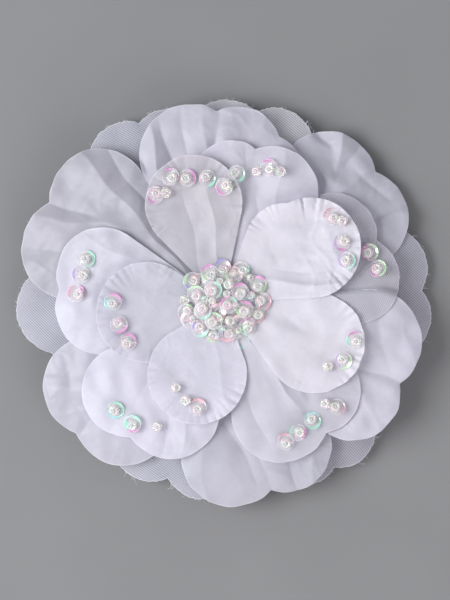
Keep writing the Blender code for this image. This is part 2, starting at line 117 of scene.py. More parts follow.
# Folds pressed into the petals: from (x, y) to (x, y), then height (negative for a valley) and width.
FOLDS = {
    "satin_petal_1": [
        (-20.3, 47, -17.9, 35.6, 1.5, 2.2), (-17, 47.9, -14.1, 36.6, -1.3, 2.6),
        (-11.7, 52.7, -10.3, 39.4, -0.9, 3), (-5.5, 54, -5, 44, 0.7, 2), (-1.5, 53, -2, 40, -0.8, 1.6),
        (17, 47, 14, 38, 0.6, 3),
    ],
    "satin_petal_2": [
        (-39.7, 41.3, -10.3, 8.1, 1.3, 3), (-32.1, 41.4, -8.4, 10, -1.1, 2.8),
        (-51, 24, -26, 21, 0.9, 3), (-50, 15, -30, 15, -0.8, 3.5), (-50.2, 29, -40, 25, -1, 2.2),
    ],
    "satin_petal_3": [
        (-44.4, -20.3, -40.6, -31.6, -1.1, 3.2), (-50, -24, -46, -34, 0.7, 2.5),
        (-41.5, -38, -32, -29, -1, 2),
    ],
    "satin_petal_4": [
        (2, -36.4, 8.6, -48.7, -1.2, 3.2), (18.1, -41, 20.9, -52.6, -1.2, 2.6),
        (25.7, -44.6, 26, -53, 1, 2.4), (13.6, -54, 10, -42, -0.7, 1.8), (-6, -45, -5, -55, 0.6, 3.5),
    ],
    "satin_petal_5": [
        (50.8, -23.1, 38, -18.3, -1.1, 2), (43.7, -5, 46.5, -17.5, -0.8, 3.2),
        (44, -26, 37, -31, -0.8, 2.6), (52, -9, 54, -17, 0.6, 2.5), (38, -22, 44, -36, 0.7, 2.4),
    ],
    "satin_petal_6": [
        (27.6, 48, 31.3, 38.4, -1.4, 2), (40.8, 48.5, 34.2, 37.5, -1.4, 2),
        (34.2, 47.5, 32.3, 39.4, 1.2, 1.8), (30.4, 35.6, 22, 41, 1, 2),
        (44.7, 39.5, 32.3, 30.9, 1.1, 2.2), (46, 30, 40, 36, -1.2, 2.2), (52, 27, 42, 24, -1.1, 2.2),
        (50, 33, 44, 28, 0.8, 1.8),
    ],
    "organza_petal_1": [(6.7, 40, 9.6, 25.2, -1, 3), (17, 40, 14, 22, 0.7, 3.5)],
    "organza_petal_2": [(-45, 8, -22, 2, -0.7, 3.5), (-38, 18, -20, 9, 0.6, 3.5)],
    "organza_petal_3": [
        (-12, -43, -9, -26, 0.9, 2.5), (-18, -44, -14, -30, -0.9, 2.6), (-33, -38, -20, -22, -0.6, 3.5),
    ],
    "organza_petal_4": [
        (8.6, -11.7, 20, -27.8, 1.1, 1.5), (2.9, -17.4, 10.6, -35.6, -1, 3.6),
        (31, -34, 22, -24, -0.7, 2.6),
    ],
    "organza_petal_5": [(46, 18, 30, 12, -0.7, 2.4), (41, 28, 30, 20, 0.6, 2.5)],
    "crimped_petal_1": [(-10.3, 27.1, -6.5, 10, -0.8, 3.6), (-3.7, 29, -0.9, 10, 0.9, 2.6)],
    "crimped_petal_2": [(-30, 3, -14, 2, 0.4, 2.5), (-27, -9, -12, -4, -0.6, 2.5)],
    "crimped_petal_3": [(-12, -13, -9, -19, -0.5, 1.8), (-2, -14, 1, -28, 0.6, 3)],
    "crimped_petal_4": [
        (17, -4, 19.5, -7, -0.9, 2), (27.5, -3, 25, -9, 0.6, 1.8), (30.5, -6, 26, -11, -0.6, 1.8),
    ],
    "crimped_petal_5": [
        (9.6, 5.9, 34.2, 4.5, 1.3, 1.3), (10, 9, 31, 8.5, -1, 2), (12, 12.5, 30, 13.5, 0.6, 1.8),
        (13, 17, 15.5, 12, -0.6, 1.4), (16, 11.5, 24, 12, -0.4, 1.4),
    ],
}

# Colours that the sequins' film throws back.
MINT = (0.56, 1.00, 0.82)
AQUA = (0.58, 0.97, 1.00)
LIME = (0.74, 1.00, 0.68)
MAGENTA = (0.88, 0.42, 0.76)
CORAL = (0.96, 0.60, 0.68)
LILAC = (0.78, 0.64, 0.97)
VIOLET = (0.54, 0.50, 0.92)
PEARL = (0.97, 0.94, 0.97)

# Beads and sequins: (x, y, what is there, glints), where what is "bead", "sequin" or "both", and each
# glint is (colour, direction, half spread) of a bright crescent on the sequin.
TRIMS = {
    "crimped_petal_1": [
        (-18.9, 30.7, "both", [(MAGENTA, 235, 40), (PEARL, 120, 60)]), (-16.1, 30.9, "bead", []),
        (-14.4, 34.8, "both", [(MAGENTA, 120, 35)]), (-10.6, 34.8, "both", [(MAGENTA, 20, 55)]),
        (-5, 35.2, "both", [(MINT, -40, 45), (PEARL, 150, 60)]),
        (0.9, 32.9, "both", [(MAGENTA, 225, 45), (LIME, 10, 40)]),
    ],
    "organza_petal_1": [
        (3.3, 36.5, "both", [(MINT, -40, 70), (PEARL, 150, 60)]), (9.5, 37, "bead", []),
        (13.2, 37.4, "both", [(MAGENTA, 100, 35)]), (16.2, 36.9, "bead", []),
    ],
    "organza_petal_2": [
        (-39.1, 12.1, "both", [(MINT, -5, 95), (PEARL, 140, 50)]),
        (-39.7, 7.6, "both", [(LILAC, 170, 45)]),
        (-40.9, 2.2, "both", [(CORAL, 160, 50), (MAGENTA, 20, 45)]),
    ],
    "organza_petal_3": [
        (-30.9, -30.6, "both", [(MINT, 20, 110), (AQUA, 230, 60)]),
        (-25.7, -34.8, "both", [(MINT, 60, 50), (MINT, 190, 45), (MAGENTA, 270, 40)]),
        (-18.6, -35.1, "bead", []),
    ],
    "organza_petal_4": [
        (17.7, -39.8, "both", [(CORAL, 100, 55)]),
        (21.5, -36.7, "both", [(MINT, 170, 40), (MAGENTA, -10, 40)]),
        (24.9, -33.1, "both", [(MINT, -60, 80), (AQUA, 110, 60)]), (28.9, -28.7, "bead", []),
        (31.6, -29.6, "both", [(CORAL, -20, 40)]),
    ],
    "organza_petal_5": [
        (41, 13.9, "both", [(LIME, 20, 60), (MAGENTA, 150, 35), (MAGENTA, 230, 30)]),
        (43.4, 9.4, "both", [(LIME, 0, 80), (MAGENTA, 240, 35)]),
    ],
    "crimped_petal_2": [
        (-31.3, -0.4, "both", [(MAGENTA, 60, 50), (AQUA, 190, 40)]),
        (-29.7, -5.8, "both", [(MAGENTA, -60, 50)]), (-27.2, -11.6, "both", [(MAGENTA, 60, 60)]),
    ],
    "crimped_petal_3": [
        (-13.3, -24.1, "bead", []), (-10.6, -27.7, "bead", []),
        (-7.2, -30.2, "both", [(CORAL, 80, 60)]),
    ],
    "crimped_petal_4": [
        (37.4, -11, "both", [(MAGENTA, 110, 40), (MINT, 190, 35)]),
        (33.5, -16.1, "both", [(LIME, -30, 70), (LILAC, 170, 50)]), (29.5, -18.1, "bead", []),
    ],
    "crimped_petal_5": [
        (30.9, 23.7, "both", [(CORAL, 140, 45)]), (33.4, 22.9, "bead", []),
        (33.9, 17.1, "both", [(LILAC, 200, 60), (MAGENTA, 270, 30)]),
        (34.5, 11.7, "both", [(MINT, -20, 60), (LILAC, 180, 60)]),
    ],
}

# Small beads in the gaps between the centre's sequins: (x, y, height above the centre's floor).
SMALL_SPOTS = [
    (-5.2, 0.8, 1.1), (-0.9, 5.9, 0.9), (8, 2, 0.9), (3.5, -1, 1.6), (4.3, -8, 0.6), (-0.4, -7.4, 0.7),
    (-8.6, -4.9, 0.3), (7.6, 6.9, 0.4), (2.8, 8.2, 0.5), (1, 2.3, 1.9), (8, -5.6, 0.6), (-3, 0.3, 1.7),
    (-0.8, -4.6, 1.2),
]
# The centre's beads, ring by ring: (x, y, height above the centre's floor, what, glints).
CENTRE = {
    "centre_outer": [
        (-8.1, 5.9, 0.2, "both", [(LIME, 180, 50), (VIOLET, 235, 25)]),
        (-3.4, 7.6, 0.4, "both", [(MAGENTA, 120, 50), (LIME, 215, 40)]),
        (0.1, 9.1, 0.2, "both", [(VIOLET, 120, 45), (CORAL, 0, 40)]),
        (5.5, 8.8, 0.2, "both", [(PEARL, 150, 70), (MINT, -20, 40)]),
        (9.7, 4.4, 0.4, "both", [(MAGENTA, 75, 45), (LIME, -40, 40)]),
        (10.6, 0.4, 0.2, "both", [(CORAL, -20, 60), (AQUA, 190, 30)]),
        (9.8, -3.5, 0.2, "both", [(PEARL, 180, 50), (CORAL, -40, 40)]),
        (6.9, -7.4, 0.2, "both", [(MAGENTA, 105, 40), (MINT, 215, 50)]),
        (1.7, -8.9, 0.3, "both", [(LILAC, 165, 50), (CORAL, 265, 50)]),
        (-2.7, -9.4, 0.1, "both", [(MINT, 60, 50), (LIME, 230, 40)]),
        (-6.6, -6.9, 0.2, "both", [(MINT, -60, 50), (VIOLET, 155, 25)]),
        (-10, -2.4, 0.1, "both", [(CORAL, 250, 50), (LIME, 60, 30)]), (-10.9, 0.6, 0, "bead", []),
    ],
    "centre_inner": [
        (-3.2, 3.2, 1.5, "both", [(MINT, 15, 70), (PEARL, 160, 60)]), (1.6, 5, 0.9, "bead", []),
        (4.9, 2.4, 1.3, "both", [(MAGENTA, 105, 50), (PEARL, 230, 50)]),
        (5.9, -2.6, 1.4, "both", [(MAGENTA, 75, 45), (LIME, 200, 40)]), (1.9, -5.2, 0.9, "bead", []),
        (-3, -5.6, 0.9, "both", [(LIME, 40, 50), (PEARL, 200, 60)]),
        (-5.9, -1.9, 1, "both", [(MINT, -60, 50), (PEARL, 170, 60)]),
        (-7.5, 1.7, 0.7, "both", [(LIME, 100, 50)]),
        (-1.4, -3.2, 0.6, "sequin", [(CORAL, 100, 80), (CORAL, 280, 80)]),
        (4.6, -10.1, -0.4, "sequin", [(MINT, -50, 60), (PEARL, 120, 60)]),
        (7.6, -0.3, 0.3, "sequin", [(CORAL, 0, 50), (AQUA, 120, 60)]),
        (2.6, 7.3, 0.2, "sequin", [(CORAL, 30, 50), (LIME, 190, 60)]),
        (4.2, -5.4, 0.2, "sequin", [(LIME, -60, 60), (CORAL, 100, 60)]),
        (-8.8, -5, 0, "sequin", [(PEARL, 160, 60)]), (-6, 5.4, 0.1, "sequin", [(CORAL, 160, 60)]),
        *((*spot, "small", []) for spot in SMALL_SPOTS),
    ],
    "centre_crown": [(1.1, -0.9, 1.7, "both", [(MINT, 15, 50), (MAGENTA, 140, 40)])],
}
BEAD_RADIUS = 1.5
BEAD_HALF_HEIGHT = 1.05
BEAD_HOLE = 0.42
SEQUIN_RADIUS = 2.5
SMALL_BEAD = 0.72
# How far a sequin lies off its bead's middle, and how far it lifts the bead.
SEQUIN_SHIFT = 0.55
SEQUIN_FLOOR = 0.35
# The most that sequins, with or without a bead, and bare beads lean, in radians.
SEQUIN_LEAN, BARE_LEAN = 0.28, 0.7


# Numbers that look random but are the same on each run


def waves(x, y, seed, length):
    """Smooth uneven waves over the plane, about -1 to 1, some `length` mm from crest to crest."""
    random = np.random.default_rng(seed)
    total = np.zeros_like(x)
    for _ in range(7):
        turn = random.uniform(0, 2 * np.pi)
        stretch = random.uniform(0.7, 1.7)
        phase = random.uniform(0, 2 * np.pi)
        total += np.sin(2 * np.pi * (x * np.cos(turn) + y * np.sin(turn)) / (length * stretch) + phase)
    return total / 3.2


def seed_of(name):
    return sum((i + 1) * ord(letter) for i, letter in enumerate(name))


# Meshes


def new_piece(name, points, faces, materials):
    """A smooth-shaded object in the scene, from points in metres."""
    mesh = bpy.data.meshes.new(name)
    mesh.from_pydata(points, [], faces)
    for material in materials:
        mesh.materials.append(material)
    mesh.shade_smooth()
    piece = bpy.data.objects.new(name, mesh)
    bpy.context.collection.objects.link(piece)
    return piece


def in_metres(x, y, z):
    return (np.stack([x, y, z], axis=-1).reshape(-1, 3) * MM).tolist()


def grid_faces(rows, columns, closed=False):
    """Faces between a grid's points. A closed grid is round, and its innermost row is filled."""
    faces = []
    for j in range(rows - 1):
        for i in range(columns if closed else columns - 1):
            a, b = j * columns + i, j * columns + (i + 1) % columns
            faces.append((a, b, b + columns, a + columns))
    if closed:
        faces.append(tuple(range(columns))[::-1])
    return faces


def round_grid(inner, outer, rings, steps):
    """Radii down a column and turns along a row, which together make a round grid."""
    turn = 2 * np.pi * np.arange(steps) / steps
    return np.linspace(inner, outer, rings)[:, None], turn[None, :]


def thicken(piece, thickness):
    """Gives a sheet its thickness in mm, half of it on each side."""
    solidify = piece.modifiers.new("thickness", "SOLIDIFY")
    solidify.thickness = thickness * MM
    solidify.offset = 0.0


# The height map that petals are laid on


class Heap:
    """The height of the top of everything laid so far, on a square grid."""

    STEP = 0.4
    HALF = 66.0

    def __init__(self):
        size = int(2 * self.HALF / self.STEP) + 1
        self.top = np.zeros((size, size))

    def spread(self, reach, blur):
        """The map widened by reach cells and then softened, which is how cloth bridges an edge."""
        wide = self.top.copy()
        for axis in (0, 1):
            shifted = [np.roll(wide, step, axis) for step in range(-reach, reach + 1)]
            wide = np.maximum.reduce(shifted)
        for axis in (0, 1, 0, 1):
            shifted = [np.roll(wide, step, axis) for step in range(-blur, blur + 1)]
            wide = np.mean(shifted, axis=0)
        return wide

    def read(self, field, x, y):
        """A field's value at any points, blended between its cells."""
        u, v = (x + self.HALF) / self.STEP, (y + self.HALF) / self.STEP
        i, j = np.floor(u).astype(int), np.floor(v).astype(int)
        i, j = np.clip(i, 0, field.shape[1] - 2), np.clip(j, 0, field.shape[0] - 2)
        a, b = u - i, v - j
        low = field[j, i] * (1 - a) + field[j, i + 1] * a
        high = field[j + 1, i] * (1 - a) + field[j + 1, i + 1] * a
        return low * (1 - b) + high * b

    def add(self, x, y, z):
        """Raises the cells nearest to some points to the points' heights."""
        limit = self.top.shape[0] - 1
        column, row = (
            np.clip(np.rint((v.ravel() + self.HALF) / self.STEP).astype(int), 0, limit) for v in (x, y)
        )
        np.maximum.at(self.top, (row, column), z.ravel())

    def fill_middle(self, radius):
        """Levels the well between the petals' roots, which the stitches fill."""
        turn = np.linspace(0, 2 * np.pi, 60)
        level = np.mean(self.read(self.top, (radius + 0.6) * np.cos(turn), (radius + 0.6) * np.sin(turn)))
        line = np.arange(self.top.shape[0]) * self.STEP - self.HALF
        inside = np.hypot(line[None, :], line[:, None]) < radius
        self.top[inside] = np.maximum(self.top[inside], level)


def soft_max(a, b, soft=0.22):
    """The larger of two heights, rounded over where they cross."""
    return np.logaddexp(a / soft, b / soft) * soft


# Petals

# Points across a petal and out along it.
ACROSS = 190
OUT = 84
CLOTH_GAP = 0.26
CLOTH_THICKNESS = 0.14
FOLD_SCALE = 0.70
# How wide one tuck of a crimped edge is.
TUCK_PITCH = 2.5
# How far from its root a petal lies free of it.
FREE_FROM = 30
# How much the cut edge wanders off its arcs.
EDGE_WANDER = 0.16
# The size of the soft hollows and of the small creases.
RUMPLE_SIZE = 8.0
CRUMPLE_SIZE = 10.0
# The gathers at a petal's root: how many a full turn would have, their depth and their length.
GATHERS, GATHER_DEPTH, GATHER_LENGTH = 15, 0.22, 6.0
# How deep a petal's sides sink, how wide the sinking strip is, and how far out it ends.
SINK_DEPTH, SINK_WIDTH, SINK_REACH = 0.9, 1.8, 22
# Where the rim of each sheer petal runs: (x, y, z, direction), for the loose threads.
UNDER_EDGES = {}
# How deep the small creases of each cloth are.
CRUMPLES = {"sheer": 0.08, "ribbed": 0.14, "fine": 0.22, "satin": 0.28, "crisp": 0.30}
# How deep the soft hollows that each cloth takes up in handling are.
RUMPLES = {"sheer": 0.18, "ribbed": 0.22, "fine": 0.28, "satin": 0.32, "crisp": 0.34}
# How deep the tucks round each crimped petal's edge are.
TUCKS = {
    "crimped_petal_1": 0.55,
    "crimped_petal_2": 0.65,
    "crimped_petal_3": 0.60,
    "crimped_petal_4": 0.70,
    "crimped_petal_5": 1.00,
}
# How far the ends of the cut threads stand out from each cloth's edge.
RAGGED = {"sheer": 0.15, "ribbed": 0.07, "fine": 0.03, "satin": 0.03, "crisp": 0.03}


def ring_of(petal):
    return RINGS[petal.rsplit("_", 1)[0]]


def petal_edge(lobes, angle):
    """How far from the axis the petal's edge is, in each direction."""
    edge = np.zeros_like(angle)
    for direction, distance, radius in lobes:
        turn = np.radians(angle - direction)
        beside = distance * np.sin(turn)
        inside = np.abs(beside) <= radius * 1.0001
        out = distance * np.cos(turn) + np.sqrt(np.clip(radius**2 - beside**2, 0, None))
        edge = np.where(inside, np.maximum(edge, out), edge)
    return edge


def nearest_on_rim(x, y, angle, edge, rim_run):
    """Each point's distance to the petal's rim, and how far along the rim its nearest point is."""
    turn = np.radians(angle)
    best = np.full(x.shape, 1e9)
    run = np.zeros_like(x)
    for k in range(len(angle)):
        away = (x - edge[k] * math.cos(turn[k])) ** 2 + (y - edge[k] * math.sin(turn[k])) ** 2
        run = np.where(away < best, rim_run[k], run)
        best = np.minimum(best, away)
    return np.sqrt(best), run


def petal_span(lobes):
    """The directions between which the petal lies."""
    spans = [(middle, math.degrees(math.asin(radius / away))) for middle, away, radius in lobes]
    return min(middle - half for middle, half in spans), max(middle + half for middle, half in spans)


def fold_height(folds, x, y):
    """The height that the pressed folds add: each is a soft ridge or valley along a line."""
    total = np.zeros_like(x)
    for x1, y1, x2, y2, height, width in folds:
        along = np.array([x2 - x1, y2 - y1])
        length = np.hypot(*along)
        along = along / length
        run = (x - x1) * along[0] + (y - y1) * along[1]
        # The line wanders a little, as a crease in cloth does.
        side = (y - y1) * along[0] - (x - x1) * along[1] + 0.5 * np.sin(run / 3.1 + x1)
        beyond = np.maximum(np.maximum(-run, run - length), 0)
        crest = np.exp(-((side / width) ** 2)) * (0.55 + 0.45 * np.exp(-np.abs(side) / (0.35 * width)))
        total += FOLD_SCALE * height * crest * np.exp(-((beyond / (1.6 * width)) ** 2))
    return total


def crimp(edge_run, to_edge, seed):
    """The small tucks of a crimped edge: puffs between narrow pinches, fading inwards."""
    phase = np.pi * (edge_run + 0.8 * waves(edge_run, edge_run * 0.3, seed, 9.0)) / TUCK_PITCH
    puff = np.abs(np.sin(phase)) ** 0.7 - 0.65
    strength = np.clip(0.6 + 0.6 * waves(edge_run, -edge_run, seed + 1, 16.0), 0.1, 1.1)
    length = 3.8 + 1.7 * np.clip(waves(edge_run, edge_run, seed + 2, 5.0), -1, 1)
    return puff * strength * np.exp(-((to_edge / length) ** 2))


def crumple(x, y, seed, size):
    """Sharp-crested small creases, as of silk that has been squeezed, about 0 to 1."""
    first = 1 - np.abs(waves(x, y, seed, size))
    second = 1 - np.abs(waves(x + 0.4 * first, y, seed + 17, size * 0.62))
    return np.clip(first, 0, 1) ** 3 * 0.6 + np.clip(second, 0, 1) ** 3 * 0.4


def make_petal(name, heap):
    """The petal's cloth: a fan of points from root to edge, shaped, folded and laid on the heap."""
    level, cloth, lobes = PETALS[name]
    ring, seed = ring_of(name), seed_of(name)
    first, last = petal_span(lobes)
    across = np.linspace(-1, 1, ACROSS)
    angle = (first + last) / 2 + (last - first) / 2 * np.sin(np.pi / 2 * across)
    edge = petal_edge(lobes, np.clip(angle, first + 1e-4, last - 1e-4))
    turn = np.radians(angle)
    rim_x, rim_y = edge * np.cos(turn), edge * np.sin(turn)
    rim_run = np.concatenate([[0], np.cumsum(np.hypot(np.diff(rim_x), np.diff(rim_y)))])

    # A cut edge is never a perfect arc.
    edge = edge + EDGE_WANDER * waves(rim_run, rim_run * 0.2, seed + 9, 7.0)
    edge = edge + RAGGED[cloth] * np.random.default_rng(seed).uniform(-1, 1, ACROSS)
    out = 1 - (1 - np.linspace(0, 1, OUT)) ** 1.25
    radius = PETAL_ROOT + (edge[None, :] - PETAL_ROOT) * out[:, None]
    x, y = radius * np.cos(turn)[None, :], radius * np.sin(turn)[None, :]
    to_edge, run = nearest_on_rim(x, y, angle, edge, rim_run)

    away = radius - PETAL_ROOT
    slope = ring["slope"] + TILTS.get(name, 0.0)
    z = ring["height"] + level * LEVEL_STEP + slope * away + ring["bend"] * away**2
    dome = np.zeros_like(z)
    for direction, distance, size in lobes:
        at = math.radians(direction)
        off = np.hypot(x - distance * math.cos(at), y - distance * math.sin(at)) / size
        dome = np.maximum(dome, np.clip(1 - off**2, 0, None))
    free = np.clip(away / FREE_FROM, 0, 1)
    z += ring["dome"] * (dome - 0.5) * free
    z += ring["ruffle"] * free**2 * waves(x, y, seed, 19.0)
    z += RUMPLES[cloth] * (0.2 + 0.8 * free) * waves(x, y, seed + 3, RUMPLE_SIZE)
    # Gathers that fan out from the stitched root.
    gathers = np.sin(turn * GATHERS + 2.5 * waves(x, y, seed + 4, 12.0))
    z += GATHER_DEPTH * gathers * np.exp(-away / GATHER_LENGTH)
    z += fold_height(FOLDS.get(name, []), x, y)
    patches = np.clip(0.5 + waves(x, y, seed + 7, 30.0), 0.15, 1.2)
    z += CRUMPLES[cloth] * crumple(x, y, seed + 6, CRUMPLE_SIZE) * patches
    if name.startswith("crimped"):
        z += TUCKS[name] * crimp(run, to_edge, seed) * free
        z += 0.2 * np.exp(-to_edge / 4.0) * free
    elif cloth != "sheer":
        z += 0.35 * np.exp(-to_edge / 1.6) * waves(run, run * 0.2, seed + 5, 16.0)

    # Near its root a petal's sides sink onto the petals below.
    z -= SINK_DEPTH * np.exp(-to_edge / SINK_WIDTH) * np.clip(1 - away / SINK_REACH, 0, 1)
    bed = heap.read(heap.spread(3, 3), x, y) + CLOTH_GAP
    z = soft_max(z, bed)
    heap.add(x, y, z + CLOTH_THICKNESS)

    if name.startswith("under"):
        UNDER_EDGES[name] = (x[-1], y[-1], z[-1], turn)

    faces = grid_faces(OUT, ACROSS)
    piece = new_piece(name + "_cloth", in_metres(x, y, z), faces, [cloth_material(name, cloth)])
    hem = piece.data.attributes.new("to_edge", "FLOAT", "POINT")
    hem.data.foreach_set("value", to_edge.ravel())
    thicken(piece, CLOTH_THICKNESS)
    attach(piece, "flower")
    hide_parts(name)


FRAYS_PER_PETAL = 42
FILAMENT_RADIUS = 0.035
THREAD_RADIUS = 0.13


def make_frays(edges):
    """Loose threads along the cut edges of the sheer petals, each a short curl of filament."""
    random = np.random.default_rng(3)
    pile = Pile()
    for name, (x, y, z, turn) in edges.items():
        for _ in range(FRAYS_PER_PETAL):
            k = int(random.integers(4, len(x) - 4))
            length = 0.5 + 1.7 * random.uniform() ** 3
            lean = turn[k] + random.normal(0, 0.5)
            curl = random.normal(0, 0.5)
            run = np.linspace(-0.15, length, 6)
            bend = lean + curl * run
            fx = x[k] + run * np.cos(bend)
            fy = y[k] + run * np.sin(bend)
            fz = z[k] + 0.03 + random.uniform(-0.1, 0.25) * run**2
            pile.add(bow(fx, fy, fz, FILAMENT_RADIUS))
    frays = pile.finish("frayed_threads", None, [THREAD])


# Materials


class Nodes:
    """Short ways to add and link the nodes of one material."""

    def __init__(self, name):
        self.material = bpy.data.materials.new(name)
        self.material.use_nodes = True
        self.tree = self.material.node_tree
        self.tree.nodes.clear()
        self.output = self.add("ShaderNodeOutputMaterial")

    def add(self, kind, inputs=None, **settings):
        node = self.tree.nodes.new(kind)
        for key, value in settings.items():
            setattr(node, key, value)
        for key, value in (inputs or {}).items():
            if isinstance(value, bpy.types.NodeSocket):
                self.tree.links.new(value, node.inputs[key])
            else:
                node.inputs[key].default_value = value
        return node

    def math(self, operation, a, b=0.0, clamp=False):
        return self.add("ShaderNodeMath", {0: a, 1: b}, operation=operation, use_clamp=clamp).outputs[0]

    def mix(self, share, a, b):
        return self.add("ShaderNodeMixShader", {0: share, 1: a, 2: b}).outputs[0]

    def mix_colour(self, share, a, b, blend="MIX"):
        node = self.add("ShaderNodeMix", {0: share, 6: a, 7: b}, data_type="RGBA", blend_type=blend)
        return node.outputs[2]

    def ramp(self, value, *stops):
        """Colours blended along a value, from stops of (value, colour)."""
        node = self.add("ShaderNodeValToRGB", {0: value})
        while len(node.color_ramp.elements) < len(stops):
            node.color_ramp.elements.new(0.5)
        for element, (place, colour) in zip(node.color_ramp.elements, stops):
            element.position = place
            element.color = (*colour, 1)
        return node.outputs[0]

    def place(self, turn=0.0, scale=(1, 1, 1)):
        """Object coordinates in metres, scaled, and turned by an angle about +Z."""
        spot = self.add("ShaderNodeTexCoord").outputs["Object"]
        inputs = {0: spot, 2: (0, 0, math.radians(turn)), 3: scale}
        return self.add("ShaderNodeMapping", inputs).outputs[0]

    def noise(self, size, turn=0.0, detail=3.0, roughness=0.5):
        """Cloudy noise whose largest clouds are about `size` mm, from 0 to 1."""
        scale = 1 / (size * MM)
        inputs = {"Vector": self.place(turn), "Scale": scale, "Detail": detail, "Roughness": roughness}
        return self.add("ShaderNodeTexNoise", inputs).outputs["Fac"]

    def ribs(self, pitch, turn, distortion=0.0):
        """Fine lines a pitch apart in mm, 0 in the grooves and 1 on the threads."""
        inputs = {
            "Vector": self.place(turn), "Scale": math.pi / (10 * pitch * MM), "Distortion": distortion,
            "Detail": 1.0, "Detail Scale": 0.6,
        }
        wave = self.add("ShaderNodeTexWave", inputs, wave_type="BANDS", bands_direction="Y")
        return wave.outputs["Fac"]

    def bump(self, height, depth, normal=None):
        """The normals of a relief `depth` mm deep, on top of another's."""
        inputs = {"Height": height, "Distance": depth * MM, "Strength": 1.0}
        if normal:
            inputs["Normal"] = normal
        return self.add("ShaderNodeBump", inputs).outputs[0]

    def principled(self, inputs):
        return self.add("ShaderNodeBsdfPrincipled", inputs).outputs[0]

    def over_clear(self, cover, shader):
        """The shader where cover is 1, and nothing at all where it is 0."""
        return self.mix(cover, self.add("ShaderNodeBsdfTransparent").outputs[0], shader)

    def finish(self, shader):
        self.tree.links.new(shader, self.output.inputs[0])
        return self.material


# Each cloth: its colour, roughness, the pitch and depth of its ribs, the depth of its shaded creases, and
# how much it hides between its threads (thin) and on them (thick).
CLOTHS = {
    "sheer": dict(
        colour=(0.81, 0.815, 0.89), rough=0.5, pitch=0.58, depth=0.07, creased=0.2, thin=0.36, thick=0.93
    ),
    "ribbed": dict(
        colour=(0.86, 0.855, 0.91), rough=0.45, pitch=0.50, depth=0.08, creased=0.2, thin=0.66, thick=0.95
    ),
    "fine": dict(
        colour=(0.93, 0.925, 0.985), rough=0.42, pitch=0.34, depth=0.012, creased=0.5, thin=0.82, thick=0.95
    ),
    "satin": dict(
        colour=(0.81, 0.805, 0.87), rough=0.38, pitch=0.44, depth=0.008, creased=0.6, thin=1.0, thick=1.0
    ),
    "crisp": dict(
        colour=(0.955, 0.945, 0.99), rough=0.42, pitch=0.40, depth=0.006, creased=0.7, thin=1.0, thick=1.0
    ),
}
# How much each petal's cloth is painted lighter or darker than the rest of its kind: painted light and
# shade.
PAINTED_PETAL_SHADING = {
    "under_petal_1": 1.17,
    "under_petal_5": 0.93,
    "satin_petal_2": 0.83,
    "satin_petal_3": 0.95,
    "satin_petal_4": 0.94,
    "satin_petal_5": 1.05,
    "organza_petal_4": 0.92,
    "crimped_petal_1": 0.81,
    "crimped_petal_2": 0.94,
}
BRIGHTEST = 0.985
# Petals whose ribs run another way than the rest of their cloth's: degrees clockwise from +X.
RIB_TURNS = {"organza_petal_5": 64, "organza_petal_4": 50, "satin_petal_5": 0, "under_petal_6": 42}
# How wide in mm the folded edge is that hides what is behind it.
HEM = 0.35
LIGHT_THROUGH_CLOTH = 0.38
made_cloths = {}


def cloth_material(petal, cloth):
    """Woven cloth with ribs across the bias, a painted hem highlight, a soft sheen and some light through
    it.
    """
    turn = RIB_TURNS.get(petal, (seed_of(petal) % 5) * 4 + (32 if cloth == "sheer" else 4))
    # The petal's colour is painted lighter or darker: painted light and shade for how the light falls on
    # it.
    painted_shading = PAINTED_PETAL_SHADING.get(petal, 1.0)
    key = (cloth, turn, painted_shading)
    if key in made_cloths:
        return made_cloths[key]
    look = CLOTHS[cloth]
    base = tuple(min(BRIGHTEST, c * painted_shading) for c in look["colour"])
    nodes = Nodes(f"{cloth}_cloth_{turn}")
    ribs = nodes.ribs(look["pitch"], turn, distortion=0.4)
    cross = nodes.ribs(look["pitch"] * 0.47, turn + 90, distortion=0.4)
    # Broad light and dark clouds: partly the cloth's uneven tone, partly painted shade of its soft hollows.
    painted_mottle = nodes.noise(8, detail=5, roughness=0.6)
    slub = nodes.noise(0.9, turn)
    pale = nodes.ramp(painted_mottle, (0.35, tuple(c * 0.93 for c in base)), (0.65, base))
    grain = nodes.ramp(slub, (0.25, (0.972, 0.972, 0.976)), (0.75, (1.0, 1.0, 1.0)))
    pale = nodes.mix_colour(1.0, pale, grain, "MULTIPLY")
    to_edge = nodes.add("ShaderNodeAttribute", attribute_name="to_edge").outputs["Fac"]
    # The hem is painted lighter: a painted highlight where the folded edge catches the light.
    painted_hem_highlight = nodes.add("ShaderNodeMapRange", {0: to_edge, 1: 0.12, 2: 0.45, 3: 0.55, 4: 0.0}).outputs[0]
    pale = nodes.mix_colour(painted_hem_highlight, pale, (0.98, 0.97, 0.99, 1))
    warm = nodes.mix_colour(nodes.noise(30, detail=2), (0.965, 0.98, 1, 1), (1, 0.965, 0.985, 1))
    colour = nodes.mix_colour(1.0, pale, warm, "MULTIPLY")
    height = nodes.math("ADD", ribs, nodes.math("MULTIPLY", cross, 0.45))
    height = nodes.math("ADD", height, nodes.math("MULTIPLY", slub, 0.4))
    creases = nodes.bump(nodes.noise(8, turn + 40, detail=2, roughness=0.45), look["creased"])
    normal = nodes.bump(height, look["depth"], creases)
    body = nodes.principled({
        "Base Color": colour, "Normal": normal, "Roughness": look["rough"],
        "Sheen Weight": 0.35, "Sheen Roughness": 0.4,
    })
    through = nodes.add("ShaderNodeBsdfTranslucent", {"Color": colour, "Normal": normal}).outputs[0]
    shader = nodes.mix(LIGHT_THROUGH_CLOTH, body, through)
    if look["thin"] < 1:
        hem = nodes.math("LESS_THAN", to_edge, HEM)
        threads = nodes.math("MULTIPLY", ribs, 0.75)
        threads = nodes.math("ADD", threads, nodes.math("MULTIPLY", cross, 0.3), clamp=True)
        cover = nodes.math("MAXIMUM", threads, hem)
        spread = nodes.math("MULTIPLY", cover, look["thick"] - look["thin"])
        cover = nodes.math("ADD", spread, look["thin"], clamp=True)
        shader = nodes.over_clear(cover, shader)
    made_cloths[key] = nodes.finish(shader)
    return made_cloths[key]


